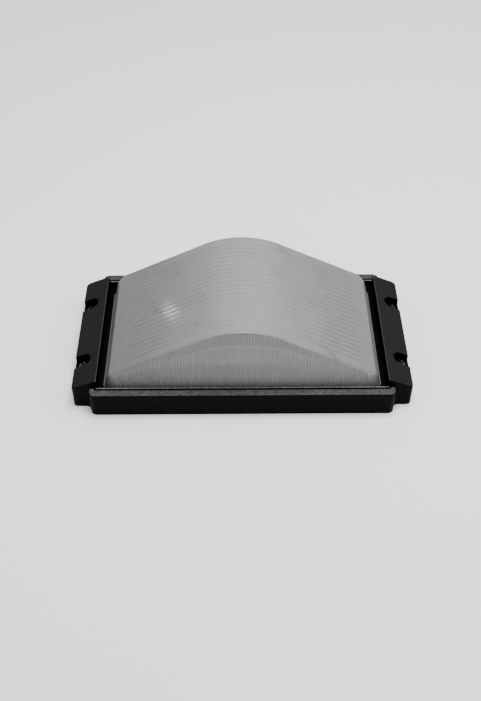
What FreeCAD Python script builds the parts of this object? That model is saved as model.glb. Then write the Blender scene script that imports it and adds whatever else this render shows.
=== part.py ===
# Wall pack light, lying on its back.  +Z points out of the wall and +X runs along its length.
# The origin is the centre of the mounting face.  All sizes are in millimetres.
import FreeCAD, Part
import math
import os

Vector = FreeCAD.Vector
UP = Vector(0, 0, 1)

# ---- outline of the castings ----
overall_length = 360.0        # over the two feet
foot_width = 165.0            # across a foot and the wing above it
foot_height = 13.0            # parting line between housing and front frame
foot_corner_radius = 4.5
body_length = 321.0           # over the ends of the two side bars
body_width = 190.0            # over the two side bars
bar_height = 29.0
bar_land = 9.2                # width of a side bar's flat top
bar_edge_radius = 1.1
bar_notch_radius = 0.5        # hollow corner beside a rail's end
body_corner_radius = 6.5
cove_radius = 6.0             # hollow corner between body and foot
casting_wall = 3.0
casting_rib = 2.0

# ---- front frame ----
parting_gap = 0.4             # between the foot and the wing's rim
wing_outer_height = 26.3
ridge_height = 38.4
wing_depth = 27.5             # from the foot's end to the ridge
wing_edge_radius = 0.9
rail_thickness = 2.1
rail_gap = 1.2                # between a rail and its side bar
rail_edge_radius = 0.5
end_gap = 1.0                 # between a wing's side and the side bar's lug
lip_thickness = 3.0
pocket_width = 17.0
pocket_spacing = 88.0         # between the two pockets of one wing
pocket_setback = 9.3          # from the foot's end to the screw
pocket_floor_height = 20.0
pocket_wall = 2.5

# ---- lens ----
lens_height = 101.8
lens_wall = 4.0
crown_radius = 90.0
ramp_angle = 27.4             # degrees
end_draft = 14.0              # degrees
side_draft = 2.5              # degrees
side_trench = 3.6             # between rail and lens at the lip
end_trench = 6.0              # between ridge and lens at the lip
lens_corner_radius = 9.0
lens_clearance = 1.0          # round the lens in the lip
flange_thickness = 3.0
flange_clearance = 0.7
flange_corner_radius = 8.0
gasket_thickness = 3.0
gasket_width = 4.6
seal_thickness = 1.0
seal_width = 1.8
ledge_margin = 1.5

# ---- wall fixing and cable entry ----
floor_thickness = 3.0
wall_hole_spacing_x = 250.0
wall_hole_spacing_y = 110.0
wall_hole_diameter = 5.5
wall_hole_rim = 4.0
wall_hole_rim_height = 2.0
entry_diameter = 18.0
entry_recess = 1.2
grommet_flange = 3.0
grommet_bore = 9.0
grommet_top = 1.5

# ---- screws ----
frame_screw_diameter = 4.0
frame_screw_head = 9.0
frame_screw_head_height = 2.8
frame_screw_end = 4.5         # height of its tip above the wall
hex_socket = 4.0
hex_depth = 1.7
washer_diameter = 11.0
washer_thickness = 0.8
screw_clearance = 0.3         # all round a shank
boss_wall = 3.5
small_screw_diameter = 3.0
small_screw_head = 6.0
small_screw_head_height = 2.0
slot_width = 0.9
slot_depth = 0.9

# ---- gear tray ----
tray_height = 24.0            # underside above the wall
tray_sheet = 1.2
tray_rim = 6.0
tray_notch = 4.0              # cut from each corner so that the rims fold up
tray_clearance = 2.5          # between its rim and the lens
tray_post_radius = 4.0
tray_post_inset_x = 29.0
tray_post_inset_y = 9.0

# ---- ballast and terminals ----
ballast_length = 110.0
ballast_width = 60.0
ballast_height = 19.0
ballast_end_gap = 3.7         # between its ear and the box's end wall
ballast_corner_radius = 3.0
ear_length = 10.0
ear_width = 20.0
ear_thickness = 2.0
ear_height = 3.0              # above the housing's floor
ear_pad_radius = 4.0
terminal_length = 36.0
terminal_width = 20.0
terminal_height = 16.0
terminal_gap = 18.0           # to the grommet
terminal_pole_pitch = 10.0
terminal_bore = 4.0
earth_y = 40.0
earth_boss_height = 6.0

# ---- lamps and their holders ----
lamp_spacing = 60.0
lamp_axis_height = 44.0
lamp_length = 138.0           # seating face to tip
lamp_seat_x = 67.0            # holder's front face from the middle
lamp_base_length = 24.0
lamp_base_size = 28.0
lamp_base_radius = 5.0
tube_diameter = 12.0
tube_pitch = 14.4
tube_bridge_diameter = 8.0
tube_bridge_inset = 8.0
key_width = 14.0
key_height = 10.0
key_length = 12.0
key_clearance = 0.4
pin_diameter = 2.4
pin_length = 10.0
pin_offset_y = 10.6
pin_offset_z = 5.0
holder_length = 25.0
holder_size = 30.0
holder_corner_radius = 3.0
holder_ear = 8.0
holder_ear_thickness = 3.0
holder_screw_tip = 1.4        # below the tray's underside
clip_x = 48.0
clip_width = 10.0
clip_sheet = 0.8
clip_clearance = 0.4
clip_reach = 6.0              # above the lamp's axis

# ---- wiring ----
wire_diameter = 2.4
sleeve_diameter = 5.0
lead_height = 11.0
sleeve_height = 14.0
sleeve_offset = 8.0           # from a lamp's axis
ring_tag_thickness = 0.8

# ---- worked out from the sizes above ----
outer_x = overall_length / 2
foot_y = foot_width / 2
body_x = body_length / 2
body_y = body_width / 2
ridge_x = outer_x - wing_depth
bar_inner_y = body_y - bar_land
rail_outer_y = bar_inner_y - rail_gap
rail_inner_y = rail_outer_y - rail_thickness
rail_end_x = ridge_x + 1.0
lug_x = rail_end_x + rail_gap
lug_y = foot_y + end_gap
wing_base = foot_height + parting_gap
gasket_top = foot_height + gasket_thickness
flange_top = gasket_top + flange_thickness
lip_base = flange_top + seal_thickness
lip_top = lip_base + lip_thickness
flange_x = ridge_x - flange_clearance
flange_y = rail_inner_y - flange_clearance
box_x = flange_x - gasket_width - ledge_margin
box_y = flange_y - gasket_width - ledge_margin
box_radius = flange_corner_radius - 1.0
screw_x = outer_x - pocket_setback
screw_y = pocket_spacing / 2
wing_slope = math.atan2(ridge_height - wing_outer_height, wing_depth)
axis_y = lamp_spacing / 2
lens_base_slope = math.tan(math.radians(side_draft))
lens_end_slope = math.tan(math.radians(end_draft))
crown_centre = lens_height - crown_radius
ramp_slope = math.radians(ramp_angle)
tray_top = tray_height + tray_sheet
grommet_radius = entry_diameter / 2 + grommet_flange
ballast_centre_x = box_x - ballast_end_gap - ear_length - ballast_length / 2
entry_x = ballast_centre_x - ballast_length / 2 - ear_length - grommet_radius
terminal_centre_x = entry_x - grommet_radius - terminal_gap - terminal_length / 2
earth_x = terminal_centre_x


def lens_half_width(height):
    """Half the lens's outer width at a height."""
    return rail_inner_y - side_trench - (height - lip_base) * lens_base_slope


def lens_half_length(height):
    """Half the lens's outer length on its end walls at a height."""
    return ridge_x - end_trench - (height - lip_base) * lens_end_slope


def lens_inner_reach(height):
    """Half the lens's inner length at a height, on an end wall or under a ramp."""
    apex = crown_centre + (crown_radius - lens_wall) / math.cos(ramp_slope)
    return min(lens_half_length(height) - lens_wall, (apex - height) / math.tan(ramp_slope))


tray_x = lens_inner_reach(tray_top + tray_rim) - tray_clearance
tray_y = lens_half_width(tray_top + tray_rim) - lens_wall - tray_clearance
post_x = tray_x - tray_post_inset_x
post_y = tray_y - tray_post_inset_y


# ---- small shapes that the pieces are made from ----
def block(x0, x1, y0, y1, z0, z1):
    """Box between two corners."""
    return Part.makeBox(x1 - x0, y1 - y0, z1 - z0, Vector(x0, y0, z0))


def rod(x, y, z0, z1, radius):
    """Upright cylinder."""
    return Part.makeCylinder(radius, z1 - z0, Vector(x, y, z0), UP)


def outline(corners, z):
    """Closed wire through (x, y, radius) corners, each rounded by a tangent arc."""
    count = len(corners)
    edges = []
    arcs = []
    for index, (x, y, radius) in enumerate(corners):
        here = Vector(x, y, z)
        before = Vector(corners[index - 1][0], corners[index - 1][1], z)
        after = Vector(corners[(index + 1) % count][0], corners[(index + 1) % count][1], z)
        back = (before - here).normalize()
        ahead = (after - here).normalize()
        half_turn = (math.pi - back.getAngle(ahead)) / 2
        reach = radius * math.tan(half_turn)
        bisector = (back + ahead).normalize()
        middle = here + bisector * (radius / math.cos(half_turn) - radius)
        arcs.append((here + back * reach, middle, here + ahead * reach, radius))
    for index, (start, middle, end, radius) in enumerate(arcs):
        if radius > 0:
            edges.append(Part.Arc(start, middle, end).toShape())
        following = arcs[(index + 1) % count][0]
        if end.distanceToPoint(following) > 1e-6:
            edges.append(Part.LineSegment(end, following).toShape())
    return Part.Wire(edges)


def prism(corners, z0, z1):
    """Upright prism on a rounded outline."""
    return Part.Face(outline(corners, z0)).extrude(UP * (z1 - z0))


def rounded_plate(half_x, half_y, radius, z0, z1):
    """Rounded rectangle about the origin."""
    corners = [(-half_x, -half_y, radius), (half_x, -half_y, radius),
               (half_x, half_y, radius), (-half_x, half_y, radius)]
    return prism(corners, z0, z1)


def upright_face(points, y):
    """Face in an XZ plane through (x, z) points."""
    vectors = [Vector(x, y, z) for x, z in points]
    return Part.Face(Part.makePolygon(vectors + vectors[:1]))


def mirror_x(shape):
    """Copy on the other end."""
    return shape.mirror(Vector(), Vector(1, 0, 0))


def mirror_y(shape):
    """Copy on the other long side."""
    return shape.mirror(Vector(), Vector(0, 1, 0))


def both_sides(shape):
    """The shape and its copy on the other long side."""
    return [shape, mirror_y(shape)]


def four_corners(shape):
    """The shape and its copies in the other three quarters."""
    pair = both_sides(shape)
    return pair + [mirror_x(piece) for piece in pair]


def turned(shape):
    """Copy turned half a turn about the upright axis."""
    copy = shape.copy()
    copy.rotate(Vector(), UP, 180)
    return copy


def fused(shapes):
    """One solid from several that meet."""
    return shapes[0].multiFuse(shapes[1:]).removeSplitter()


def save(name, shape):
    """Write one piece."""
    shape.exportStep("parts/%s.step" % name)
    print("%-22s %2d solid(s) %10.1f mm3 valid %s"
          % (name, len(shape.Solids), shape.Volume, shape.isValid()))


# ---- housing ----
def body_outline(inset):
    """Corners of the housing's plan, moved inwards by inset."""
    step = body_y - foot_y
    convex = min(body_corner_radius, 0.52 * step)
    concave = min(cove_radius, step - convex)
    long_x = outer_x - inset
    short_x = body_x - inset
    long_y = body_y - inset
    short_y = foot_y - inset
    quarter = [(short_x, long_y, convex - inset), (short_x, short_y, concave + inset),
               (long_x, short_y, foot_corner_radius - inset)]
    back = [(x, -y, r) for x, y, r in reversed(quarter)]
    right = quarter + back
    left = [(-x, -y, r) for x, y, r in right]
    return right + left


def side_bar():
    """Raised bar along the +Y side, with a lug that wraps each end of the frame's rail.

    Beside a wing that is wider than the rails the bar's inner part stops short of the wing instead,
    and a bar that ends before the rail has no lug.
    """
    wide_wing = lug_y > bar_inner_y
    width = body_y - max(lug_y, bar_inner_y)
    edge_radius = min(bar_edge_radius, 0.4 * width)
    tight = edge_radius + 0.2
    corner = min(body_corner_radius, 0.52 * (body_y - foot_y), width - tight)
    end_x = ridge_x - end_gap if wide_wing else lug_x
    right = [(body_x, body_y, corner), (body_x, bar_inner_y, tight)]
    if end_x + 2 * tight < body_x:
        radii = (bar_notch_radius, tight) if wide_wing else (tight, bar_notch_radius)
        right = [(body_x, body_y, corner), (body_x, lug_y, tight), (end_x, lug_y, radii[0]),
                 (end_x, bar_inner_y, radii[1])]
    left = [(-x, y, r) for x, y, r in reversed(right)]
    bar = prism(right + left, foot_height - casting_wall, bar_height)
    top = [edge for edge in bar.Edges if edge.BoundBox.ZMin > bar_height - 1e-3]
    return bar.makeFillet(edge_radius, top)


def underside_void():
    """Space under the rim and feet, open at the wall, less the ribs and screw bosses in it."""
    roof = foot_height - casting_wall
    void = prism(body_outline(casting_wall), 0, roof)
    box = rounded_plate(box_x + casting_wall, box_y + casting_wall,
                        box_radius + casting_wall, 0, roof)
    void = void.cut(box)
    channel = block(-body_x + casting_wall, body_x - casting_wall,
                    bar_inner_y + casting_wall, body_y - casting_wall,
                    0, bar_height - casting_wall)
    void = void.multiFuse(both_sides(channel))
    ribs = []
    for step in (-2, -1, 0, 1, 2):
        x = step * body_length / 6
        rib = block(x - casting_rib / 2, x + casting_rib / 2,
                    box_y, body_y, 0, bar_height)
        ribs += both_sides(rib)
    for side in (-1, 0, 1):
        y = side * pocket_spacing / 4
        rib = block(box_x, outer_x, y - casting_rib / 2, y + casting_rib / 2, 0, roof)
        ribs += [rib, mirror_x(rib)]
    bosses = four_corners(rod(screw_x, screw_y, 0, roof, boss_radius()))
    return void.cut(Part.makeCompound(ribs + bosses))


def boss_radius():
    """Outer radius of the boss that a frame screw bites into."""
    return frame_screw_diameter / 2 + screw_clearance + boss_wall


def housing():
    """Die-cast tray: floor, gasket ledge, feet, side bars and all the cast bosses."""
    body = fused([prism(body_outline(0), 0, foot_height)] + both_sides(side_bar()))
    body = body.cut(rounded_plate(box_x, box_y, box_radius, floor_thickness, foot_height + 1))
    body = body.cut(underside_void())
    hole_x = wall_hole_spacing_x / 2
    hole_y = wall_hole_spacing_y / 2
    hole_radius = wall_hole_diameter / 2
    rim_top = floor_thickness + wall_hole_rim_height
    shank = small_screw_diameter / 2 + screw_clearance
    tapped_base = entry_recess
    raised = four_corners(rod(hole_x, hole_y, 0, rim_top, hole_radius + wall_hole_rim))
    raised += four_corners(rod(post_x, post_y, 0, tray_height, tray_post_radius))
    raised += [rod(x, 0, 0, floor_thickness + ear_height, ear_pad_radius) for x in ear_screws_x()]
    raised += [rod(earth_x, earth_y, 0, floor_thickness + earth_boss_height, ear_pad_radius)]
    body = fused([body] + raised)
    holes = four_corners(rod(hole_x, hole_y, -1, rim_top + 1, hole_radius))
    holes += four_corners(rod(screw_x, screw_y, casting_wall, foot_height + 1,
                              frame_screw_diameter / 2 + screw_clearance))
    holes += four_corners(rod(post_x, post_y, tray_height / 2, tray_height + 1, shank))
    holes += [rod(x, 0, tapped_base, bar_height, shank) for x in ear_screws_x()]
    holes += [rod(terminal_centre_x, 0, tapped_base, bar_height, shank)]
    holes += [rod(earth_x, earth_y, tapped_base, bar_height, shank)]
    holes += [rod(entry_x, 0, -1, floor_thickness + 1, entry_diameter / 2),
              rod(entry_x, 0, -1, entry_recess, grommet_radius)]
    return body.cut(Part.makeCompound(holes))


# ---- front frame ----
def wing_prism(inset, base):
    """Wedge of the +X wing, all its walls moved inwards by inset, down to a base height."""
    inner = ridge_x + inset
    outer = outer_x - inset
    drop = inset / math.cos(wing_slope)
    rise = math.tan(wing_slope)
    inner_top = ridge_height - drop - inset * rise
    outer_top = wing_outer_height - drop + inset * rise
    half = foot_y - inset
    profile = [(inner, base), (outer, base), (outer, outer_top), (inner, inner_top)]
    wedge = upright_face(profile, -half).extrude(Vector(0, 2 * half, 0))
    radius = max(foot_corner_radius - inset, 0.5)
    plan = [(inner, -half, 0), (outer, -half, radius), (outer, half, radius), (inner, half, 0)]
    return wedge.common(prism(plan, base, ridge_height + 1))


def pocket_form(y, half_width, base, top):
    """U in plan, round at its inner end and open outwards, about a frame screw."""
    end = rod(screw_x, y, base, top, half_width)
    return end.fuse(block(screw_x, outer_x + 1, y - half_width, y + half_width, base, top))


def wing():
    """+X wing: a hollow wedge with two screw pockets let into its slope."""
    outer = wing_prism(0, wing_base)
    crest = [edge for edge in outer.Edges if edge.BoundBox.ZMin > wing_base + 1]
    outer = outer.makeFillet(wing_edge_radius, crest)
    shell = outer.cut(wing_prism(casting_wall, wing_base - 1))
    top = ridge_height + 1
    under = pocket_floor_height - casting_wall
    added = []
    removed = []
    for y in (-screw_y, screw_y):
        walls = pocket_form(y, pocket_width / 2 + pocket_wall, under, top)
        added.append(walls.common(outer))
        added.append(rod(screw_x, y, foot_height, under + 1, boss_radius()))
        removed.append(pocket_form(y, pocket_width / 2, pocket_floor_height, top))
        removed.append(rod(screw_x, y, 0, top, frame_screw_diameter / 2 + screw_clearance))
    rib_y = pocket_spacing / 6
    stiffener = block(ridge_x + 1, outer_x - 1, -casting_rib / 2, casting_rib / 2,
                      gasket_top, wing_outer_height)
    for y in (-rib_y, rib_y):
        rib = stiffener.copy()
        rib.translate(Vector(0, y, 0))
        added.append(rib.common(outer))
    return fused([shell] + added).cut(Part.makeCompound(removed))


def rail():
    """Thin wall along the +Y side that closes the frame round the lens."""
    wall = block(-rail_end_x, rail_end_x, rail_inner_y, rail_outer_y, wing_base, bar_height)
    top = [edge for edge in wall.Edges
           if edge.BoundBox.ZMin > bar_height - 1e-3 and edge.BoundBox.XLength > 1]
    return wall.makeFillet(rail_edge_radius, top)


def lip_ring():
    """Ledge that turns in over the lens's flange and ties wings and rails together."""
    plate = block(-rail_end_x, rail_end_x, -rail_outer_y, rail_outer_y, lip_base, lip_top)
    opening = rounded_plate(lens_half_length(lip_base) + lens_clearance,
                            lens_half_width(lip_base) + lens_clearance,
                            lens_corner_radius + lens_clearance, lip_base - 1, lip_top + 1)
    return plate.cut(opening)


def corner_post():
    """Upright in the frame's corner, outside the flange's round corner."""
    inner_x = flange_x - 0.12 * flange_corner_radius
    inner_y = flange_y - 0.12 * flange_corner_radius
    return block(inner_x, rail_end_x, inner_y, rail_outer_y, wing_base, lip_top)


def front_frame():
    """Die-cast frame: two wings, two rails and the lip between them."""
    right = wing()
    pieces = [right, mirror_x(right)] + both_sides(rail()) + [lip_ring()]
    pieces += four_corners(corner_post())
    return fused(pieces)


# ---- lens, seal and gasket ----
def lens_form(inset, base):
    """Solid hump: two ramps and a round crown carried across, ends and sides drafted."""
    centre = crown_centre
    radius = crown_radius - inset
    rise = math.tan(ramp_slope)
    apex = centre + radius / math.cos(ramp_slope)
    end_shift = inset / math.cos(math.radians(end_draft))
    foot = lens_half_length(base) - end_shift
    eaves_x = (foot - (apex - base) * lens_end_slope) / (1 - rise * lens_end_slope)
    eaves_z = apex - eaves_x * rise
    tangent_x = radius * math.sin(ramp_slope)
    tangent_z = centre + radius * math.cos(ramp_slope)
    wide = lens_half_width(base) + 1

    def at(x, z):
        return Vector(x, -wide, z)

    edges = [Part.LineSegment(at(-foot, base), at(-eaves_x, eaves_z)),
             Part.LineSegment(at(-eaves_x, eaves_z), at(-tangent_x, tangent_z)),
             Part.Arc(at(-tangent_x, tangent_z), at(0, centre + radius), at(tangent_x, tangent_z)),
             Part.LineSegment(at(tangent_x, tangent_z), at(eaves_x, eaves_z)),
             Part.LineSegment(at(eaves_x, eaves_z), at(foot, base)),
             Part.LineSegment(at(foot, base), at(-foot, base))]
    profile = Part.Wire([edge.toShape() for edge in edges])
    hump = Part.Face(profile).extrude(Vector(0, 2 * wide, 0))
    for cutter in both_sides(side_cutter(inset, base)):
        hump = hump.cut(cutter)
    corners = [edge for edge in hump.Edges
               if edge.BoundBox.ZMin < base + 1e-3 and edge.BoundBox.ZLength > 1
               and edge.BoundBox.XLength < 20 and edge.BoundBox.YLength < 20]
    return hump.makeFillet(lens_corner_radius - 0.75 * inset, corners)


def side_cutter(inset, base):
    """Everything outside the lens's drafted +Y face."""
    top = lens_height + 1
    low = base - 1
    face = [(lens_half_width(low) - inset, low), (body_y, low), (body_y, top),
            (lens_half_width(top) - inset, top)]
    vectors = [Vector(-outer_x, y, z) for y, z in face]
    return Part.Face(Part.makePolygon(vectors + vectors[:1])).extrude(Vector(overall_length, 0, 0))


def lens():
    """Moulded diffuser: a hollow hump on a flange."""
    flange = rounded_plate(flange_x, flange_y, flange_corner_radius, gasket_top, flange_top)
    return fused([lens_form(0, gasket_top), flange]).cut(lens_form(lens_wall, gasket_top - 1))


def ring(half_x, half_y, radius, width, z0, z1):
    """Flat band of a given width inside a rounded rectangle."""
    outer = rounded_plate(half_x, half_y, radius, z0, z1)
    return outer.cut(rounded_plate(half_x - width, half_y - width,
                                   max(radius - width, 1), z0 - 1, z1 + 1))


def lens_seal():
    """Bead that bonds the lens's flange into the frame."""
    return ring(flange_x, flange_y, flange_corner_radius, seal_width, flange_top, lip_base)


def housing_gasket():
    """Foamed rubber cord lying on the housing's ledge."""
    return ring(flange_x, flange_y, flange_corner_radius, gasket_width, foot_height, gasket_top)


# ---- screws ----
def frame_screw():
    """Pan-head screw with a hexagon socket."""
    seat = pocket_floor_height + washer_thickness
    crown = seat + frame_screw_head_height
    head = rod(screw_x, screw_y, seat, crown, frame_screw_head / 2)
    rim = [edge for edge in head.Edges if edge.BoundBox.ZMin > crown - 1e-3]
    head = head.makeFillet(0.4 * frame_screw_head_height, rim)
    points = [Vector(screw_x + hex_socket / math.sqrt(3) * math.cos(math.radians(60 * k)),
                     screw_y + hex_socket / math.sqrt(3) * math.sin(math.radians(60 * k)),
                     crown - hex_depth) for k in range(7)]
    socket = Part.Face(Part.makePolygon(points)).extrude(UP * (hex_depth + 1))
    shank = rod(screw_x, screw_y, frame_screw_end, seat, frame_screw_diameter / 2)
    return fused([head, shank]).cut(socket)


def washer():
    """Sealing washer under a frame screw's head."""
    top = pocket_floor_height + washer_thickness
    disc = rod(screw_x, screw_y, pocket_floor_height, top, washer_diameter / 2)
    return disc.cut(rod(screw_x, screw_y, 0, bar_height, frame_screw_diameter / 2))


def small_screw(x, y, tip, seat):
    """Slotted cheese-head screw, head down onto its seat."""
    crown = seat + small_screw_head_height
    head = rod(x, y, seat, crown, small_screw_head / 2)
    slot = block(x - small_screw_head, x + small_screw_head, y - slot_width / 2,
                 y + slot_width / 2, crown - slot_depth, crown + 1)
    return fused([head, rod(x, y, tip, seat, small_screw_diameter / 2)]).cut(slot)


def ear_screws_x():
    """Where the ballast's two screws stand."""
    reach = (ballast_length + ear_length) / 2
    return [ballast_centre_x - reach, ballast_centre_x + reach]


def gear_screws():
    """Two screws in the ballast's ears and one through the terminal block."""
    tip = entry_recess + screw_clearance
    ear_top = floor_thickness + ear_height + ear_thickness
    screws = [small_screw(x, 0, tip, ear_top) for x in ear_screws_x()]
    screws.append(small_screw(terminal_centre_x, 0, tip, floor_thickness + terminal_height / 2))
    return Part.makeCompound(screws)


def tray_screws():
    """Four screws that hold the gear tray on its posts."""
    tip = tray_height / 2 + screw_clearance
    return Part.makeCompound(four_corners(small_screw(post_x, post_y, tip, tray_top)))


# ---- gear tray, ballast and terminals ----
def gear_tray():
    """White sheet reflector, notched at its corners and folded up along its four sides."""
    fold_x = tray_x - tray_notch
    fold_y = tray_y - tray_notch
    rim_top = tray_top + tray_rim
    sheets = [block(-tray_x, tray_x, -fold_y, fold_y, tray_height, tray_top),
              block(-fold_x, fold_x, -tray_y, tray_y, tray_height, tray_top)]
    end_rim = block(tray_x - tray_sheet, tray_x, -fold_y, fold_y, tray_height, rim_top)
    side_rim = block(-fold_x, fold_x, tray_y - tray_sheet, tray_y, tray_height, rim_top)
    tray = fused(sheets + [end_rim, mirror_x(end_rim)] + both_sides(side_rim))
    clearance = small_screw_diameter / 2 + screw_clearance
    holes = four_corners(rod(post_x, post_y, tray_height - 1, tray_top + 1, clearance))
    for x, y in holder_screw_places():
        holes.append(rod(x, y, tray_height - 1, tray_top + 1, clearance))
    for x, y in sleeve_holes():
        holes.append(rod(x, y, tray_height - 1, tray_top + 1, sleeve_diameter / 2 + 1))
    return tray.cut(Part.makeCompound(holes))


def ballast():
    """Slim electronic control gear in a can with a fixing ear at each end."""
    x0 = ballast_centre_x - ballast_length / 2
    x1 = ballast_centre_x + ballast_length / 2
    top = floor_thickness + ballast_height
    can = block(x0, x1, -ballast_width / 2, ballast_width / 2, floor_thickness, top)
    long_edges = [edge for edge in can.Edges
                  if edge.BoundBox.XLength > 1 and edge.BoundBox.ZMin > top - 1e-3]
    can = can.makeFillet(ballast_corner_radius, long_edges)
    low = floor_thickness + ear_height
    ears = [block(x0 - ear_length, x0 + 1, -ear_width / 2, ear_width / 2, low, low + ear_thickness),
            block(x1 - 1, x1 + ear_length, -ear_width / 2, ear_width / 2, low, low + ear_thickness)]
    holes = [rod(x, 0, 0, top, small_screw_diameter / 2 + screw_clearance)
             for x in ear_screws_x()]
    return fused([can] + ears).cut(Part.makeCompound(holes))


def terminal_block():
    """Moulded block of three poles, with a wire bore and a screw well for each."""
    x0 = terminal_centre_x - terminal_length / 2
    top = floor_thickness + terminal_height
    body = block(x0, x0 + terminal_length, -terminal_width / 2, terminal_width / 2,
                 floor_thickness, top)
    cuts = []
    for x in pole_places():
        bore = Part.makeCylinder(terminal_bore / 2, terminal_width + 2,
                                 Vector(x, -terminal_width / 2 - 1, lead_height),
                                 Vector(0, 1, 0))
        cuts.append(bore)
        for y in (-terminal_width / 4, terminal_width / 4):
            cuts.append(rod(x, y, lead_height, top + 1, terminal_bore / 2))
    cuts.append(rod(terminal_centre_x, 0, 0, top + 1, small_screw_diameter / 2 + screw_clearance))
    cuts.append(rod(terminal_centre_x, 0, floor_thickness + terminal_height / 2, top + 1,
                    small_screw_head / 2 + screw_clearance))
    return body.cut(Part.makeCompound(cuts))


def pole_places():
    """Centres of the terminal block's poles, clear of its middle screw."""
    near = terminal_pole_pitch / 2 + small_screw_head / 4
    return [terminal_centre_x - near, terminal_centre_x + near]


def terminal_clamps():
    """Brass clamping screws in their wells."""
    clamps = []
    for x in pole_places():
        for y in (-terminal_width / 4, terminal_width / 4):
            top = floor_thickness + terminal_height - 1
            clamp = rod(x, y, lead_height + wire_diameter / 2, top, terminal_bore / 2)
            slot = block(x - terminal_bore, x + terminal_bore, y - slot_width / 2,
                         y + slot_width / 2, top - slot_depth, top + 1)
            clamps.append(clamp.cut(slot))
    return Part.makeCompound(clamps)


def earth_screw():
    """Screw that clamps the earth lead's ring tag to the cast boss."""
    boss_top = floor_thickness + earth_boss_height
    return small_screw(earth_x, earth_y, entry_recess + screw_clearance,
                       boss_top + ring_tag_thickness)


def cable_grommet():
    """Rubber grommet in the rear cable entry, turned about its bore."""
    neck = entry_diameter / 2
    wide = grommet_radius
    bore = grommet_bore / 2
    top = floor_thickness + grommet_top
    points = [(bore, 0), (wide, 0), (wide, entry_recess), (neck, entry_recess),
              (neck, floor_thickness), (wide, floor_thickness), (wide, top), (bore, top)]
    return upright_face(points, 0).revolve(Vector(), UP, 360).translated(Vector(entry_x, 0, 0))


# ---- lamps and holders, drawn for the left lamp and turned for the right one ----
def along_x(x0, x1, y, z, radius):
    """Lying cylinder."""
    return Part.makeCylinder(radius, x1 - x0, Vector(x0, y, z), Vector(1, 0, 0))


def lamp_base():
    """Plastic base of the left lamp, with the key that goes into the holder."""
    x0 = -lamp_seat_x
    half = lamp_base_size / 2
    collar = block(x0, x0 + lamp_base_length, -axis_y - half, -axis_y + half,
                   lamp_axis_height - half, lamp_axis_height + half)
    rims = [edge for edge in collar.Edges if edge.BoundBox.XLength > 1]
    collar = collar.makeFillet(lamp_base_radius, rims)
    key = block(x0 - key_length, x0 + 1, -axis_y - key_width / 2, -axis_y + key_width / 2,
                lamp_axis_height - key_height / 2, lamp_axis_height + key_height / 2)
    return fused([collar, key])


def lamp_tubes():
    """Four glass legs of the left lamp, bridged in pairs near the tip and once at the base."""
    x0 = -lamp_seat_x + lamp_base_length
    tip = -lamp_seat_x + lamp_length
    radius = tube_diameter / 2
    half = tube_pitch / 2
    bridge = tube_bridge_diameter / 2
    pieces = []
    for dy in (-half, half):
        for dz in (-half, half):
            centre = (-axis_y + dy, lamp_axis_height + dz)
            pieces.append(along_x(x0, tip - radius, centre[0], centre[1], radius))
            pieces.append(Part.makeSphere(radius, Vector(tip - radius, centre[0], centre[1])))
        pieces.append(rod(tip - tube_bridge_inset, -axis_y + dy, lamp_axis_height - half,
                          lamp_axis_height + half, bridge))
    pieces.append(Part.makeCylinder(bridge, tube_pitch,
                                    Vector(x0 + tube_bridge_inset, -axis_y - half,
                                           lamp_axis_height + half), Vector(0, 1, 0)))
    return fused(pieces)


def pin_places():
    """Where a lamp's four pins stand about its axis."""
    return [(-axis_y + sy * pin_offset_y, lamp_axis_height + sz * pin_offset_z)
            for sy in (-1, 1) for sz in (-1, 1)]


def lamp_pins():
    """Four contact pins of the left lamp."""
    return Part.makeCompound([along_x(-lamp_seat_x - pin_length, -lamp_seat_x, y, z,
                                      pin_diameter / 2) for y, z in pin_places()])


def lampholder():
    """Left holder: a moulded block with a key socket, pin holes and two fixing ears."""
    front = -lamp_seat_x
    rear = front - holder_length
    half = holder_size / 2
    top = lamp_axis_height + half
    body = block(rear, front, -axis_y - half, -axis_y + half, tray_top, top)
    upper = [edge for edge in body.Edges
             if edge.BoundBox.XLength > 1 and edge.BoundBox.ZMin > top - 1e-3]
    body = body.makeFillet(holder_corner_radius, upper)
    ears = block(rear, front, -axis_y - half - holder_ear, -axis_y + half + holder_ear,
                 tray_top, tray_top + holder_ear_thickness)
    socket = block(front - key_length - key_clearance, front + 1,
                   -axis_y - key_width / 2 - key_clearance,
                   -axis_y + key_width / 2 + key_clearance,
                   lamp_axis_height - key_height / 2 - key_clearance,
                   lamp_axis_height + key_height / 2 + key_clearance)
    cuts = [socket]
    for y, z in pin_places():
        cuts.append(along_x(front - pin_length - key_clearance, front + 1, y, z,
                            pin_diameter / 2 + screw_clearance))
    for dy in (-1, 1):
        cuts.append(rod((front + rear) / 2, -axis_y + dy * (half + holder_ear / 2), tray_top - 1,
                        tray_top + holder_ear_thickness + 1,
                        small_screw_diameter / 2 + screw_clearance))
    return fused([body, ears]).cut(Part.makeCompound(cuts))


def holder_screw_places():
    """Where the four screws of the two holders stand."""
    x = -lamp_seat_x - holder_length / 2
    reach = (holder_size + holder_ear) / 2
    left = [(x, -axis_y - reach), (x, -axis_y + reach)]
    return left + [(-a, -b) for a, b in left]


def holder_screws():
    """Screws through the holders' ears into the tray."""
    return Part.makeCompound([small_screw(x, y, tray_height - holder_screw_tip,
                                          tray_top + holder_ear_thickness)
                              for x, y in holder_screw_places()])


def lamp_clip():
    """Spring clip that steadies the far end of the left lamp."""
    inner = (tube_pitch + tube_diameter) / 2 + clip_clearance
    outer = inner + clip_sheet
    top = lamp_axis_height + clip_reach
    x0 = clip_x - clip_width / 2
    x1 = clip_x + clip_width / 2
    shape = block(x0, x1, -axis_y - outer, -axis_y + outer, tray_top, top)
    return shape.cut(block(x0 - 1, x1 + 1, -axis_y - inner, -axis_y + inner,
                           tray_top + clip_sheet, top + 1))


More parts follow.
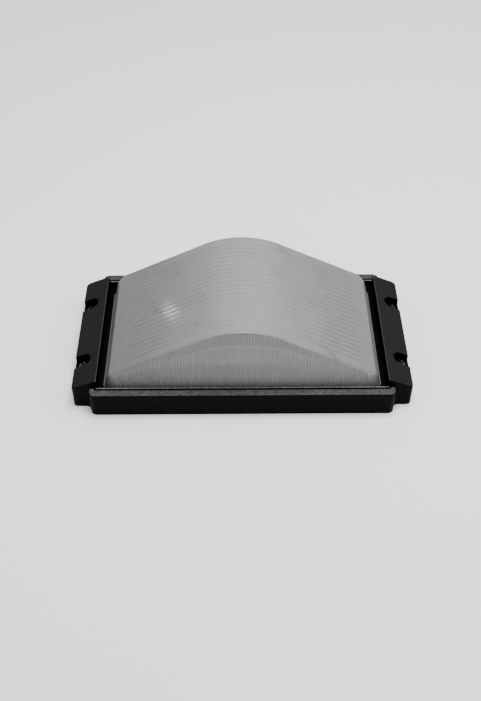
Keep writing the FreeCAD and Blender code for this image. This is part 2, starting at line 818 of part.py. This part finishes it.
# ---- wiring ----
def lead(points, diameter):
    """Round lead along straight runs, each bend an arc as large as its two runs allow."""
    vectors = [Vector(*point) for point in points]
    edges = []
    start = vectors[0]
    for before, here, after in zip(vectors, vectors[1:], vectors[2:]):
        back = before - here
        ahead = after - here
        shorter = min(back.Length, ahead.Length)
        back.normalize()
        ahead.normalize()
        half_turn = (math.pi - back.getAngle(ahead)) / 2
        reach = 0.45 * shorter
        radius = reach / math.tan(half_turn)
        middle = here + (back + ahead).normalize() * (radius / math.cos(half_turn) - radius)
        edges.append(Part.LineSegment(start, here + back * reach).toShape())
        edges.append(Part.Arc(here + back * reach, middle, here + ahead * reach).toShape())
        start = here + ahead * reach
    edges.append(Part.LineSegment(start, vectors[-1]).toShape())
    path = Part.Wire(edges)
    section = Part.Wire(Part.makeCircle(diameter / 2, vectors[0], vectors[1] - vectors[0]))
    tube = path.makePipeShell([section], True, False)
    expected = math.pi * diameter ** 2 / 4 * path.Length
    print("lead %.0f mm long, volume ratio %.4f" % (path.Length, tube.Volume / expected))
    return tube


def supply_leads():
    """Two leads from the terminal block to the ballast's near end."""
    near_x = ballast_centre_x - ballast_length / 2
    start_y = -terminal_width / 2
    ends_y = ((-24, -18), (-18, -13))
    leads = []
    for x, (turn_y, end_y) in zip(pole_places(), ends_y):
        points = [(x, start_y, lead_height), (x, turn_y, lead_height),
                  (x + 24, turn_y - 4, lead_height), (near_x - 8, end_y, 12), (near_x, end_y, 12)]
        leads.append(lead(points, wire_diameter))
    return Part.makeCompound(leads)


def sleeve_holes():
    """Where each lamp's sleeved leads rise through the tray."""
    x = -lamp_seat_x - holder_length / 2
    return [(x, -axis_y - sleeve_offset), (-x, axis_y + sleeve_offset)]


def lamp_leads():
    """Sleeved leads from the ballast's ends up into the two lampholders."""
    near_x = ballast_centre_x - ballast_length / 2
    far_x = ballast_centre_x + ballast_length / 2
    (left_x, left_y), (right_x, right_y) = sleeve_holes()
    z = sleeve_height
    left = [(near_x, -25, z), (near_x - 16, -25, z), (-20, -36, 13), (-52, -39, z),
            (left_x, left_y, z), (left_x, left_y, tray_top)]
    right = [(far_x, 14, z), (far_x + 7, 14, z), (far_x + 7, 34, z), (far_x - 14, 40, z),
             (right_x + 12, right_y, z), (right_x, right_y, z), (right_x, right_y, tray_top)]
    return Part.makeCompound([lead(left, sleeve_diameter), lead(right, sleeve_diameter)])


def earth_lead():
    """Earth lead from the terminal block to its ring tag."""
    boss_top = floor_thickness + earth_boss_height
    tag_top = boss_top + ring_tag_thickness
    outer = small_screw_head / 2
    half = wire_diameter / 2
    rim_y = earth_y - outer
    tag = fused([rod(earth_x, earth_y, boss_top, tag_top, outer),
                 block(earth_x - half, earth_x + half, rim_y - outer, earth_y, boss_top, tag_top)])
    tag = tag.cut(rod(earth_x, earth_y, 0, bar_height, small_screw_diameter / 2))
    start_y = terminal_width / 2
    end = Vector(earth_x, rim_y - screw_clearance, boss_top + half)
    run = (end.y - start_y) / 3
    x = pole_places()[0]
    points = [(x, start_y, lead_height), (x, start_y + run, lead_height),
              (end.x, end.y - run, end.z), (end.x, end.y, end.z)]
    return fused([tag, lead(points, wire_diameter)])


def main():
    """Make and write every piece."""
    os.makedirs("parts", exist_ok=True)
    save("housing", housing())
    save("housing_gasket", housing_gasket())
    save("cable_grommet", cable_grommet())
    save("front_frame", front_frame())
    save("lens", lens())
    save("lens_seal", lens_seal())
    save("frame_screws", Part.makeCompound(four_corners(frame_screw())))
    save("screw_washers", Part.makeCompound(four_corners(washer())))
    save("gear_tray", gear_tray())
    save("tray_screws", tray_screws())
    save("ballast", ballast())
    save("gear_screws", gear_screws())
    save("terminal_block", terminal_block())
    save("terminal_clamps", terminal_clamps())
    save("earth_screw", earth_screw())
    save("supply_leads", supply_leads())
    save("lamp_leads", lamp_leads())
    save("earth_lead", earth_lead())
    save("holder_screws", holder_screws())
    save("lamp_clips", Part.makeCompound([lamp_clip(), turned(lamp_clip())]))
    for side, placed in (("left", lambda shape: shape), ("right", turned)):
        save("lampholder_%s" % side, placed(lampholder()))
        save("lamp_%s_base" % side, placed(lamp_base()))
        save("lamp_%s_tubes" % side, placed(lamp_tubes()))
        save("lamp_%s_pins" % side, placed(lamp_pins()))


main()
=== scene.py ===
import math

import bpy
import numpy as np
from mathutils import Matrix, Vector


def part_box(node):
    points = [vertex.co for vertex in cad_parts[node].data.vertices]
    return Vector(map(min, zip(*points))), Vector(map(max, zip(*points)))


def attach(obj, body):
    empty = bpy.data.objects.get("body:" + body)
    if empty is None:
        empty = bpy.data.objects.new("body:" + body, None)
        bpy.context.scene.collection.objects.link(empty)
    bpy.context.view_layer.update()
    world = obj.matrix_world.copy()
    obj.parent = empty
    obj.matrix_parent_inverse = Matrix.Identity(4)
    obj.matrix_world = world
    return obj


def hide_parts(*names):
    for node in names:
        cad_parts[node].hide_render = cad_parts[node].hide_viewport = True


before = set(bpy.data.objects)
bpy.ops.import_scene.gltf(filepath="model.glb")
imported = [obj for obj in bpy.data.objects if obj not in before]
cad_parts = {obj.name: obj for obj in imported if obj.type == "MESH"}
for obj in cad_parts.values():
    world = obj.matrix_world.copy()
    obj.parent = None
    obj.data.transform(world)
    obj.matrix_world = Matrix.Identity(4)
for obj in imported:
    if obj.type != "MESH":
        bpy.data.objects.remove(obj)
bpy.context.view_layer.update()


# ---- floor ----
# Pale seamless studio paper under the fitting's mounting face.
# It is not part of the object.
class Shade:
    """One value in a material; arithmetic on it adds Math nodes, and node() adds any other kind."""

    def __init__(self, tree, socket):
        self.tree = tree
        self.socket = socket

    def node(self, kind, outlet=0, settings=None, **inlets):
        """Adds a node and applies its settings, then its inlets by name, or by number as n0, n1 ..."""
        node = self.tree.nodes.new(kind)
        for name, value in (settings or {}).items():
            if name == "stops":
                ramp = node.color_ramp.elements
                for index, (place, grey) in enumerate(value):
                    stop = ramp[index] if index < len(ramp) else ramp.new(place)
                    stop.position = place
                    stop.color = (grey, grey, grey, 1)
            else:
                setattr(node, name, value)
        for name, value in inlets.items():
            inlet = node.inputs[int(name[1:])] if name[1:].isdigit() else node.inputs[name]
            if isinstance(value, Shade):
                self.tree.links.new(value.socket, inlet)
            else:
                inlet.default_value = value
        return Shade(self.tree, node.outputs[outlet])

    def math(self, operation, first, second):
        """Math node on two values, numbers or sockets."""
        return self.node("ShaderNodeMath", settings={"operation": operation}, n0=first, n1=second)

    def __add__(self, other):
        return self.math("ADD", self, other)

    __radd__ = __add__

    def __sub__(self, other):
        return self.math("SUBTRACT", self, other)

    def __rsub__(self, other):
        return self.math("SUBTRACT", other, self)

    def __mul__(self, other):
        return self.math("MULTIPLY", self, other)

    __rmul__ = __mul__

    def __truediv__(self, other):
        return self.math("DIVIDE", self, other)

    def __gt__(self, other):
        return self.math("GREATER_THAN", self, other)

    def __abs__(self):
        return self.math("ABSOLUTE", self, 0.0)

    def zigzag(self):
        """Straight up from 0 to 1 and down again over each whole number."""
        return self.math("PINGPONG", self, 0.5) * 2

    def along(self, axis):
        """One coordinate of a place: 0, 1 or 2 for x, y or z."""
        return self.node("ShaderNodeSeparateXYZ", outlet=axis, Vector=self)

    def stretched(self, x, y, z):
        """The same place with its axes multiplied, so that a pattern on it is drawn out."""
        return self.node("ShaderNodeVectorMath", settings={"operation": "MULTIPLY"},
                         n0=self, n1=(x, y, z))

    def noise(self, scale, detail=3.0):
        """Cloudy noise over a place, 0 to 1, with that many clouds in a metre."""
        return self.node("ShaderNodeTexNoise", Vector=self, Scale=scale, Detail=detail, Roughness=0.6)

    def attribute(self, name):
        """Value that the mesh carries under that name."""
        return self.node("ShaderNodeAttribute", outlet="Fac", settings={"attribute_name": name})

    def ramp(self, *stops):
        """Value carried through (place, grey) stops."""
        return self.node("ShaderNodeValToRGB", settings={"stops": stops}, Fac=self)

    def colour(self, dark, light):
        """Colour mixed from dark to light by this value."""
        return self.node("ShaderNodeMix", outlet=2, settings={"data_type": "RGBA"},
                         n0=self, n6=(*dark, 1), n7=(*light, 1))

    def raised(self, strength, distance):
        """Surface direction of this value taken as a height."""
        return self.node("ShaderNodeBump", Height=self, Strength=strength, Distance=distance)


def new_material(name, **constants):
    """Material with constant sockets set; returns it, its object coordinates and its surface shader."""
    material = bpy.data.materials.new(name)
    material.use_nodes = True
    surface = material.node_tree.nodes["Principled BSDF"]
    for socket, value in constants.items():
        surface.inputs[socket.replace("_", " ")].default_value = value
    place = Shade(material.node_tree, None).node("ShaderNodeTexCoord", outlet="Object")
    return material, place, surface


def vary(surface, **values):
    """Links what changes over the surface into its shader."""
    for socket, value in values.items():
        value.tree.links.new(value.socket, surface.inputs[socket.replace("_", " ")])


floor_half = 3.0
floor_gap = 0.0002
floor_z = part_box("housing")[0].z - floor_gap
mesh = bpy.data.meshes.new("floor")
mesh.from_pydata([(-floor_half, -floor_half, floor_z), (floor_half, -floor_half, floor_z),
                  (floor_half, floor_half, floor_z), (-floor_half, floor_half, floor_z)],
                 [], [(0, 1, 2, 3)])
floor = bpy.data.objects.new("floor", mesh)
bpy.context.collection.objects.link(floor)
paper, place, surface = new_material("studio_paper", Roughness=0.95, Specular_IOR_Level=0.1)
vary(surface, Base_Color=place.noise(3.0).colour((0.90, 0.90, 0.90), (0.93, 0.93, 0.93)))
mesh.materials.append(paper)


# ---- camera ----
# Placed as in the photograph: 46 degrees above the long near side.
# Its distance and focal length come from a fit to the object's corners.
elevation = math.radians(46.0)
yaw = math.radians(-0.49)
roll = math.radians(0.04)
distance = 1.07268
shift_right = -0.00143
shift_up = -0.00108
focal_pixels = 949.69
picture_height = 701
sensor = 36.0
back = Vector((math.sin(yaw) * math.cos(elevation), -math.cos(yaw) * math.cos(elevation),
               math.sin(elevation)))
level = (-back).cross(Vector((0, 0, 1))).normalized()
upright = level.cross(-back)
right = level * math.cos(roll) + upright * math.sin(roll)
up = upright * math.cos(roll) - level * math.sin(roll)
camera_data = bpy.data.cameras.new("camera")
camera_data.sensor_width = sensor
camera_data.lens = focal_pixels / picture_height * sensor
camera = bpy.data.objects.new("camera", camera_data)
camera.matrix_world = Matrix((right, up, back)).transposed().to_4x4()
camera.location = back * distance + right * shift_right + up * shift_up
bpy.context.collection.objects.link(camera)
bpy.context.scene.camera = camera


# ---- lights ----
# A soft box overhead, a fill at the right, a small lamp whose reflection sits on the lens's left
# ramp, and a pale surround.
for name, spot, size, power in (("overhead_box", (0.15, 0.05, 1.7), 0.9, 46.0),
                                ("right_box", (1.4, 0.1, 1.2), 0.6, 9.0),
                                ("small_lamp", (-0.922, 1.0, 0.555), 0.03, 0.034)):
    lamp = bpy.data.lights.new(name, "AREA")
    lamp.size = size
    lamp.energy = power
    light = bpy.data.objects.new(name, lamp)
    light.location = spot
    light.rotation_euler = (-Vector(spot)).to_track_quat("-Z", "Y").to_euler()
    bpy.context.collection.objects.link(light)
world = bpy.data.worlds.new("surround")
bpy.context.scene.world = world
world.use_nodes = True
world.node_tree.nodes["Background"].inputs["Color"].default_value = (1, 1, 1, 1)
world.node_tree.nodes["Background"].inputs["Strength"].default_value = 0.55


# ---- housing and front frame ----
# Two aluminium die castings, powder coated black: a satin coat with a fine orange peel. Painted light:
# the outer faces that look up are painted paler, speckled with painted glints on the peel, and a
# painted highlight runs along the rails.  Four screws clamp the frame down on the housing's gasket.
# Height above which the painted top light is laid, clear of the trench round the lens.
top_light_height = 0.0245
coat, place, surface = new_material("black_coat", Specular_IOR_Level=0.025)
peel = place.noise(700.0)
patches = place.noise(16.0, detail=4.0)
facing_up = place.node("ShaderNodeTexCoord", outlet="Normal").along(2)
outer_faces = place.along(2) > top_light_height
# Painted light: paler colour on faces that look up, speckled glints on the peel, and a painted
# highlight along the rails.
painted_speckle_glints = facing_up.ramp((0.93, 0.0), (0.99, 1.0)) * peel.ramp((0.38, 0.15), (0.64, 1.0))
painted_rail_highlight = abs(place.along(1)).ramp((0.0815, 0.0), (0.0820, 1.0), (0.0850, 1.0), (0.0855, 0.0))
painted_upward_light = facing_up.ramp((0.86, 0.0), (0.92, 0.07))
painted_top_light = (painted_upward_light + painted_speckle_glints * (0.4 + painted_rail_highlight * 0.9)) * (0.8 + patches * 0.4) * outer_faces
vary(surface,
     Base_Color=painted_top_light.colour((0.0012, 0.0012, 0.0012), (0.1688, 0.1688, 0.1628)),
     Roughness=0.34 + peel * 0.20,
     Normal=peel.raised(0.35, 0.0003))


def dress(material, *nodes):
    """Gives a material to pieces that keep their own shape."""
    for node in nodes:
        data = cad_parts[node].data
        data.materials.clear()
        data.materials.append(material)


dress(coat, "housing", "front_frame")


# ---- gasket and cable grommet ----
# A foamed rubber cord in the housing's groove, and a moulded rubber grommet pressed into the
# cable entry in the back.  Both are matt black with a dusty bloom.
rubber, place, surface = new_material("black_rubber", Specular_IOR_Level=0.25)
bloom = place.noise(90.0, detail=5.0)
vary(surface,
     Base_Color=bloom.colour((0.007, 0.007, 0.007), (0.030, 0.030, 0.029)),
     Roughness=0.70 + bloom * 0.2,
     Normal=place.noise(1400.0).raised(0.3, 0.0003))
dress(rubber, "housing_gasket", "cable_grommet")


# ---- lens seal ----
# A bead of clear silicone laid between the lens's flange and the frame's lip.
bead, place, surface = new_material("clear_silicone", Transmission_Weight=0.4, IOR=1.41)
ripple = place.noise(260.0)
vary(surface,
     Base_Color=ripple.colour((0.42, 0.43, 0.42), (0.60, 0.61, 0.60)),
     Roughness=0.28 + ripple * 0.2,
     Normal=ripple.raised(0.4, 0.0004))
dress(bead, "lens_seal")


# ---- lens ----
# One moulding of frosted plastic: two ramps and a round crown, drafted walls, and a flange under
# the frame's lip.  Shallow grooves run along the top, and upright flutes stand on the long walls.
lens_low, lens_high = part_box("lens")
crown_radius = 0.090
ramp_angle = math.radians(27.4)
crown_centre = lens_high.z - crown_radius
lens_wall = 0.004
lip_z = 0.020
lip_half_x = 0.1465
lip_half_y = 0.0789
end_draft = math.tan(math.radians(14.0))
side_draft = math.tan(math.radians(2.5))
corner_radius = 0.009
corner_shrink = 0.75
side_round = 0.0009
end_round = 0.0038
sharp_angle = math.radians(38)
flange_top = 0.019
flange_corner = 0.008
flute_pitch = 0.00285
flute_depth = 0.0004
flute_count = 92
groove_pitch = 0.0067
groove_depth = 0.00028
groove_lanes = 10
groove_profile = np.array([(0.0, 0.0), (0.31, 0.0), (0.35, 0.0), (0.5, 1.0), (0.65, 0.0), (0.69, 0.0)])
groove_end = 0.134
groove_fade = 0.014
arch_drop = 0.0195
arch_rise = 0.12
brim_skin = 0.0008
brim_rounds = 12
side_stations = np.arange(flute_count + 1) * flute_pitch / 2
end_run = lip_half_y - corner_radius
lane_stations = (np.arange(groove_lanes)[:, None] + groove_profile[:, 0]).ravel()
end_stations = np.append(np.append(lane_stations, groove_lanes) * groove_pitch / end_run, 1.0)
arc_angles = np.linspace(0, math.pi / 4, 7)[1:]
rounding_angles = np.radians([18, 36, 54, 72])
wall_shares = np.linspace(0, 1, 8)
inner_shares = (0.0, 0.3, 0.6, 0.85)


def round_loop(side, side_arc, end, end_arc):
    """One quarter's values carried round the whole outline, from the -X -Y corner anticlockwise:
    along the -Y side, up the +X end, back along the +Y side and down the -X end."""
    side = np.concatenate([side, side_arc])
    end = np.concatenate([end, end_arc])
    full_side = np.concatenate([side[::-1], side[1:]])
    full_end = np.concatenate([end[::-1], end[1:]])
    return np.concatenate([full_side[:-1], full_end[:-1], full_side[:0:-1], full_end[:0:-1]])


arcs = len(arc_angles)
no_arc = np.zeros(arcs)
whole_arc = np.ones(arcs)
no_side = np.zeros(len(side_stations))
whole_side = np.ones(len(side_stations))
no_end = np.zeros(len(end_stations))
whole_end = np.ones(len(end_stations))
rows = 2 * (len(side_stations) + arcs) - 1
columns = 2 * (len(end_stations) + arcs) - 1
loop_size = 2 * (rows + columns) - 4
steps = np.arange(loop_size)
station_x = round_loop(side_stations, no_arc, no_end, no_arc)
past_side = round_loop(no_side, whole_arc, whole_end, whole_arc)
arc_x = round_loop(no_side, np.sin(arc_angles), whole_end, np.cos(arc_angles))
share_y = round_loop(whole_side, whole_arc, end_stations, whole_arc)
arc_y = round_loop(whole_side, np.cos(arc_angles), no_end, np.sin(arc_angles))
first_corner = rows - 1
second_corner = first_corner + columns - 1
third_corner = second_corner + rows - 1
on_walls = [steps < first_corner, steps < second_corner, steps < third_corner]
far_middle = (second_corner + third_corner) / 2
right_middle = (first_corner + second_corner) / 2
left_middle = (third_corner + loop_size) / 2
sign_x = np.sign(np.select(on_walls, [steps - first_corner / 2, 1, far_middle - steps], -1))
sign_y = np.sign(np.select(on_walls, [-1, steps - right_middle, 1], left_middle - steps))
flute = np.where(past_side > 0, 0.0, np.cos(math.pi * np.round(station_x / (flute_pitch / 2))))


def crown(x, inset):
    """Height of the top over x: a circle about the crown's centre out to the ramp's angle, and its
    tangent beyond; an inset makes the circle smaller about the same centre."""
    radius = crown_radius - inset
    reach = np.minimum(np.abs(x), radius * math.sin(ramp_angle))
    return crown_centre + np.sqrt(radius ** 2 - reach ** 2) - (np.abs(x) - reach) * math.tan(ramp_angle)


def outline(z, inset, fluted=0.0):
    """Rounded rectangle at height z, whose half sizes shrink with height by each wall's draft; the
    flutes move the long walls in and out by turns."""
    corner = corner_radius - corner_shrink * inset
    half_x = lip_half_x - (z - lip_z) * end_draft - inset - corner
    half_y = lip_half_y - (z - lip_z) * side_draft - inset - corner
    x = np.where(past_side > 0, half_x, station_x) + corner * arc_x
    y = half_y * share_y + corner * arc_y + fluted * flute_depth * flute
    return sign_x * x, sign_y * y


def brim(inset, fluted=0.0):
    """Edge between walls and top: outline and crown height are taken in turn until they agree."""
    z = np.full(loop_size, (lip_z + crown_centre + crown_radius) / 2)
    for _ in range(brim_rounds):
        x, y = outline(z, inset, fluted)
        z = crown(x, inset)
    return x, y, z


def top_sheet(x, y, inset):
    """Top face from its edge: rows keep the x of the long edges and columns the y of the short ones,
    each bent in proportion to its distance from the middle, and the crown gives the height."""
    row_x = x[:rows, None]
    row_y = -y[:rows, None]
    column_x = x[None, rows - 1:rows - 1 + columns]
    column_y = y[None, rows - 1:rows - 1 + columns]
    sheet_x = row_x + row_x / row_x[-1] * (column_x - row_x[-1])
    sheet_y = column_y + column_y / column_y[0, -1] * (row_y - row_y[-1])
    return np.stack([sheet_x, sheet_y, crown(sheet_x, inset)], -1).reshape(-1, 3)


def grooves(x):
    """Depth share of the grooves over the top sheet: across it each lane repeats the profile's
    (place, share) pairs, and along x the grooves fade to nothing before the sheet's ends."""
    across = np.concatenate([np.tile(groove_profile[:, 1], groove_lanes), np.zeros(2 + arcs)])
    across = np.concatenate([across[::-1], across[1:]])
    return np.tile(across, rows) * np.clip((groove_end - np.abs(x)) / groove_fade, 0, 1)


def sheet_index(start):
    """Vertex numbers of a sheet as rows and columns."""
    return start + np.arange(rows * columns).reshape(rows, columns)


def sheet_rim(start):
    """Vertex numbers of a sheet's edge, in the outline's order."""
    index = sheet_index(start)
    return np.concatenate([index[:-1, 0], index[-1, :-1], index[:0:-1, -1], index[0, :0:-1]])


def sheet_faces(start):
    """Quads of a sheet, facing up."""
    index = sheet_index(start)
    return np.stack([index[:-1, :-1], index[1:, :-1], index[1:, 1:], index[:-1, 1:]], -1).reshape(-1, 4)


edge_z = brim(0.0, 1.0)[2]
inner_x, inner_y, inner_z = brim(lens_wall)
rounding = side_round + (end_round - side_round) * arc_x ** 2
loops = []
for angle in rounding_angles:
    x, y = outline(edge_z, rounding * (1 - math.sin(angle)), 1.0)
    loops.append((x, y, crown(x, 0.0) - rounding * (1 - math.cos(angle))))
for share in wall_shares:
    z = edge_z - rounding - (edge_z - rounding - flange_top) * share
    loops.append((*outline(z, 0.0, 1.0), z))
spread = (lens_high.x - flange_corner) / side_stations[-1]
flange_x = sign_x * (np.where(past_side > 0, lens_high.x - flange_corner, station_x * spread)
                     + flange_corner * arc_x)
flange_y = sign_y * ((lens_high.y - flange_corner) * share_y + flange_corner * arc_y)
loops.append((flange_x, flange_y, np.full(loop_size, flange_top)))
loops.append((flange_x, flange_y, np.full(loop_size, lens_low.z)))
for share in inner_shares:
    z = lens_low.z + (inner_z - lens_low.z) * share
    loops.append((*outline(z, lens_wall), z))

sheet_size = rows * columns
top = top_sheet(*outline(edge_z, rounding, 1.0), 0.0)
groove_share = grooves(top[:, 0])
top[:, 2] -= groove_depth * groove_share
ceiling = top_sheet(inner_x, inner_y, lens_wall)
rings = [sheet_rim(0)] + [2 * sheet_size + loop_size * index + steps for index in range(len(loops))]
rings.append(sheet_rim(sheet_size))
walls = [np.stack([lower, np.roll(lower, -1), np.roll(upper, -1), upper], -1)
         for upper, lower in zip(rings[:-1], rings[1:])]
vertices = np.concatenate([top, ceiling] + [np.stack(loop, -1) for loop in loops])
faces = np.concatenate([sheet_faces(0), sheet_faces(sheet_size)[:, ::-1]] + walls)
mesh = bpy.data.meshes.new("frosted_lens")
mesh.from_pydata(vertices.tolist(), [], faces.tolist())
drops = [np.zeros(2 * sheet_size)] + [np.maximum(edge_z - loop[2], 0) for loop in loops]
lanes = np.append(groove_share, np.zeros(len(vertices) - sheet_size))
for name, values in (("below_brim", np.concatenate(drops)), ("groove", lanes)):
    mesh.attributes.new(name, "FLOAT", "POINT").data.foreach_set("value", values.astype(np.float32))
mesh.shade_smooth()
mesh.set_sharp_from_angle(angle=sharp_angle)
lens = bpy.data.objects.new("frosted_lens", mesh)
bpy.context.collection.objects.link(lens)

frost, place, surface = new_material("frosted_plastic", IOR=1.49, Transmission_Weight=0.30,
                                     Coat_Weight=0.7, Coat_Roughness=0.07)
drop_down = place.attribute("below_brim")
wall = drop_down > brim_skin
across = abs(place.along(1))
lengthwise = abs(place.along(0))
# Painted shade along the grooves on the top.
painted_groove_shade = place.attribute("groove")
# Painted shade along the flute hollows on the walls; the same wave also raises the flutes' bump.
flute_line = (place.along(0) / flute_pitch).zigzag() * wall
# Painted shade: a darker band under the brim where the top's own thickness would show through the wall,
# with a painted highlight line along its foot; the band is arch_drop deep at the middle and narrows by
# arch_rise along x.
inner_arch = drop_down / (arch_drop - lengthwise * arch_rise) * 0.5
painted_under_brim_shade = inner_arch.ramp((0.44, 1.0), (0.50, 0.0)) * wall
painted_under_brim_highlight = inner_arch.ramp((0.43, 0.0), (0.49, 1.0), (0.51, 1.0), (0.62, 0.0)) * wall
# Painted light: the crown is painted paler towards the middle.
painted_crown_light = lengthwise.ramp((0.020, 1.0), (0.090, 0.20), (0.140, 0.0)) * (1 - wall)
# Painted shade: the lens is painted darker towards its left end.
painted_left_shade = (0.5 - place.along(0) * 3.6).ramp((0.45, 0.0), (0.85, 1.0))
# Painted light on the lower part of the walls.
painted_low_wall_light = (place.along(2).ramp((0.020, 1.0), (0.070, 0.0))
            * lengthwise.ramp((0.130, 1.0), (0.141, 0.0)) * wall)
# Painted shade along the top's long edges.
painted_brim_edge_shade = (place.along(2) * side_draft + across).ramp((0.0765, 0.0), (0.0788, 1.0)) * (1 - wall)
cloud = place.noise(24.0, detail=4.0)
smear = place.noise(140.0)
smudge = place.noise(38.0, detail=2.0).ramp((0.62, 0.0), (0.78, 1.0))
groove_shade_strength = 0.08 + place.noise(9.0, detail=1.0).ramp((0.35, 0.0), (0.65, 0.17))
# The tone also paints the walls lighter than the top, as painted light.
tone = (0.28 + cloud * 0.16 + smear * 0.08 - smudge * 0.12
        + painted_crown_light * 0.21 - painted_left_shade * 0.09 - painted_brim_edge_shade * 0.08 - painted_groove_shade * groove_shade_strength
        + wall * 0.09 + painted_low_wall_light * 0.55 - flute_line * 0.12 - painted_under_brim_shade * 0.06 + painted_under_brim_highlight * 0.09)
vary(surface,
     Base_Color=tone.colour((0.02, 0.02, 0.02), (0.50, 0.512, 0.495)),
     Roughness=0.34 + smear * 0.16,
     Normal=(smear * 0.3 - flute_line * 0.5).raised(0.4, 0.0004))
mesh.materials.append(frost)
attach(lens, "cover")
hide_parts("lens")


# ---- frame screws and their washers ----
# Yellow zinc-plated pan-head screws, coloured near black for the shade in their pockets and with
# painted glints, each over a nylon washer that keeps water out of the hole.
plating, place, surface = new_material("yellow_zinc", Metallic=1.0)
# Painted shade and glints: the plating is near black, with pale tan painted glints in spots.
painted_glints = place.noise(420.0, detail=4.0).ramp((0.50, 0.0), (0.68, 1.0))
vary(surface,
     Base_Color=painted_glints.colour((0.008, 0.007, 0.006), (0.30, 0.26, 0.18)),
     Roughness=0.30 + place.noise(700.0) * 0.25)
dress(plating, "frame_screws")
# Painted shade: the nylon is coloured near black for the shade in the pockets.
nylon, place, surface = new_material("grey_nylon")
grain = place.noise(500.0)
vary(surface,
     Base_Color=grain.colour((0.025, 0.025, 0.025), (0.070, 0.070, 0.068)),
     Roughness=0.45 + grain * 0.2)
dress(nylon, "screw_washers")


# ---- gear tray ----
# Reflector of thin steel sheet folded up along its four sides, in gloss white enamel that is
# slightly wavy and has yellowed a little in the lamps' heat.
enamel, place, surface = new_material("white_enamel", Coat_Weight=0.5, Coat_Roughness=0.08)
wave = place.noise(55.0)
yellowed = place.noise(9.0, detail=4.0)
vary(surface,
     Base_Color=yellowed.colour((0.86, 0.87, 0.86), (0.82, 0.81, 0.77)),
     Roughness=0.16 + wave * 0.14,
     Normal=wave.raised(0.2, 0.0008))
dress(enamel, "gear_tray")


# ---- small screws ----
# Zinc-plated steel screws that hold the tray, the ballast, the lampholders and the earth lead.
zinc, place, surface = new_material("bright_zinc", Metallic=1.0)
frosting = place.noise(900.0, detail=4.0)
vary(surface,
     Base_Color=frosting.colour((0.46, 0.47, 0.50), (0.66, 0.67, 0.68)),
     Roughness=0.22 + frosting * 0.22)
dress(zinc, "tray_screws", "gear_screws", "holder_screws", "earth_screw")


# ---- ballast ----
# Electronic control gear in a drawn aluminium can, brushed along its length.
brushed, place, surface = new_material("brushed_can", Metallic=1.0)
strokes = place.stretched(14.0, 900.0, 900.0).noise(1.0, detail=4.0)
vary(surface,
     Base_Color=strokes.colour((0.52, 0.53, 0.53), (0.76, 0.77, 0.77)),
     Roughness=0.28 + strokes * 0.22,
     Normal=strokes.raised(0.25, 0.0002))
dress(brushed, "ballast")


# ---- terminal block ----
# Cream thermoset moulding with brass clamps whose screws stand in its wells.
cream, place, surface = new_material("cream_thermoset")
mottle = place.noise(180.0, detail=4.0)
vary(surface,
     Base_Color=mottle.colour((0.62, 0.57, 0.45), (0.74, 0.70, 0.58)),
     Roughness=0.38 + mottle * 0.2,
     Normal=mottle.raised(0.15, 0.0003))
dress(cream, "terminal_block")
brass, place, surface = new_material("plain_brass", Metallic=1.0)
tarnish = place.noise(320.0, detail=4.0)
vary(surface,
     Base_Color=tarnish.colour((0.46, 0.30, 0.10), (0.78, 0.58, 0.27)),
     Roughness=0.20 + tarnish * 0.25)
dress(brass, "terminal_clamps", "lamp_left_pins", "lamp_right_pins")


# ---- leads ----
# Two brown supply leads from the terminal block to the ballast, two lamp leads in braided grey
# sleeving, and a green and yellow earth lead from the terminal block to the housing.
supply, place, surface = new_material("supply_insulation")
vary(surface,
     Base_Color=place.noise(200.0).colour((0.060, 0.022, 0.008), (0.095, 0.036, 0.014)),
     Roughness=0.40 + place.noise(300.0) * 0.15)
dress(supply, "supply_leads")
sleeving, place, surface = new_material("braided_sleeving")
braid_pitch = 0.0012
diagonal = (place.along(0) + place.along(1) + place.along(2)) / braid_pitch
counter = (place.along(0) - place.along(1) - place.along(2)) / braid_pitch
braid = diagonal.zigzag() * counter.zigzag()
vary(surface,
     Base_Color=braid.colour((0.16, 0.16, 0.155), (0.40, 0.40, 0.385)),
     Roughness=0.60 + braid * 0.2,
     Normal=braid.raised(0.5, 0.0003))
dress(sleeving, "lamp_leads")
earth, place, surface = new_material("earth_insulation")
stripe_pitch = 0.009
twist = (place.along(0) + place.along(1) + place.along(2)) / stripe_pitch
stripe = twist.zigzag().ramp((0.44, 0.0), (0.56, 1.0))
vary(surface,
     Base_Color=stripe.colour((0.60, 0.48, 0.02), (0.03, 0.22, 0.04)),
     Roughness=0.40 + place.noise(300.0) * 0.15)
dress(earth, "earth_lead")


# ---- lampholders and lamp bases ----
# White heat-resistant mouldings, a little yellowed: the holders are screwed to the tray, and each
# lamp's base plugs into one.
moulding, place, surface = new_material("white_moulding")
flow = place.noise(70.0, detail=4.0)
vary(surface,
     Base_Color=flow.colour((0.78, 0.77, 0.72), (0.86, 0.85, 0.81)),
     Roughness=0.34 + flow * 0.18,
     Normal=place.noise(900.0).raised(0.1, 0.0002))
dress(moulding, "lampholder_left", "lampholder_right", "lamp_left_base", "lamp_right_base")


# ---- lamp tubes ----
# Twin glass tubes with a white phosphor coat inside, greyed towards both ends.
glass, place, surface = new_material("phosphor_tube", Coat_Weight=1.0, Coat_Roughness=0.03)
powder = place.noise(60.0, detail=4.0)
scorched = abs(place.along(0)).ramp((0.036, 0.0), (0.062, 1.0)) * 0.5
vary(surface,
     Base_Color=(powder * 0.25 + scorched).colour((0.90, 0.91, 0.92), (0.62, 0.62, 0.62)),
     Roughness=0.22 + powder * 0.12)
dress(glass, "lamp_left_tubes", "lamp_right_tubes")


# ---- lamp clips ----
# Spring steel strip bent to hold the far end of each lamp, with rolling marks along the strip.
spring, place, surface = new_material("spring_steel", Metallic=1.0)
rolling = place.stretched(30.0, 1200.0, 30.0).noise(1.0, detail=3.0)
vary(surface,
     Base_Color=rolling.colour((0.40, 0.40, 0.41), (0.62, 0.62, 0.63)),
     Roughness=0.20 + rolling * 0.2)
dress(spring, "lamp_clips")
